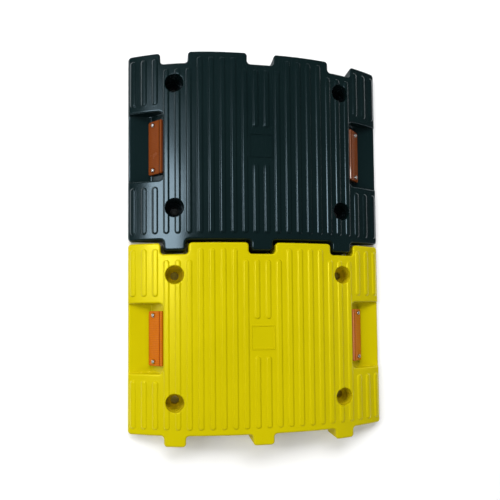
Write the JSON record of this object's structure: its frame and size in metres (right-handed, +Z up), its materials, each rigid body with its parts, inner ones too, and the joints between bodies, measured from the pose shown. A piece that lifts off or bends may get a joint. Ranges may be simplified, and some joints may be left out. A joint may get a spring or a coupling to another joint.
{
  "type": "interlocking road ramp",
  "caption": "Arched road ramp of interlocking hollow modules, black and yellow, with tread ribs, bolt holes, cable passages and amber side reflectors.",
  "frame": {"origin": "on the ground, at the centre of the pair's overall box", "axes": "+X across the ramp, the way traffic crosses it; +Y along the run of modules, from the yellow one to the black one; +Z up"},
  "size_m": [0.35, 0.518, 0.05],
  "materials": {
    "black_plastic": "glossy blue-black moulded plastic with a faint orange-peel surface",
    "yellow_plastic": "semi-gloss safety-yellow moulded plastic",
    "amber_lens": "glossy amber prismatic reflector lens",
    "reflector_back": "dark moulded back plate",
    "screw_steel": "bright plated steel"
  },
  "bodies": {
    "black_ramp": {"black_module": "black_plastic", "black_left_back_plate": "reflector_back", "black_left_lens": "amber_lens", "black_left_screw_1": "screw_steel", "black_left_screw_2": "screw_steel", "black_right_back_plate": "reflector_back", "black_right_lens": "amber_lens", "black_right_screw_1": "screw_steel", "black_right_screw_2": "screw_steel"},
    "yellow_ramp": {"yellow_module": "yellow_plastic", "yellow_left_back_plate": "reflector_back", "yellow_left_lens": "amber_lens", "yellow_left_screw_1": "screw_steel", "yellow_left_screw_2": "screw_steel", "yellow_right_back_plate": "reflector_back", "yellow_right_lens": "amber_lens", "yellow_right_screw_1": "screw_steel", "yellow_right_screw_2": "screw_steel"}
  },
  "joints": [
    {"name": "unplug_slide", "type": "slide", "parent": "black_ramp", "child": "yellow_ramp", "axis": [0, -1, 0], "range_m": [-0.003, 0.03]}
  ]
}
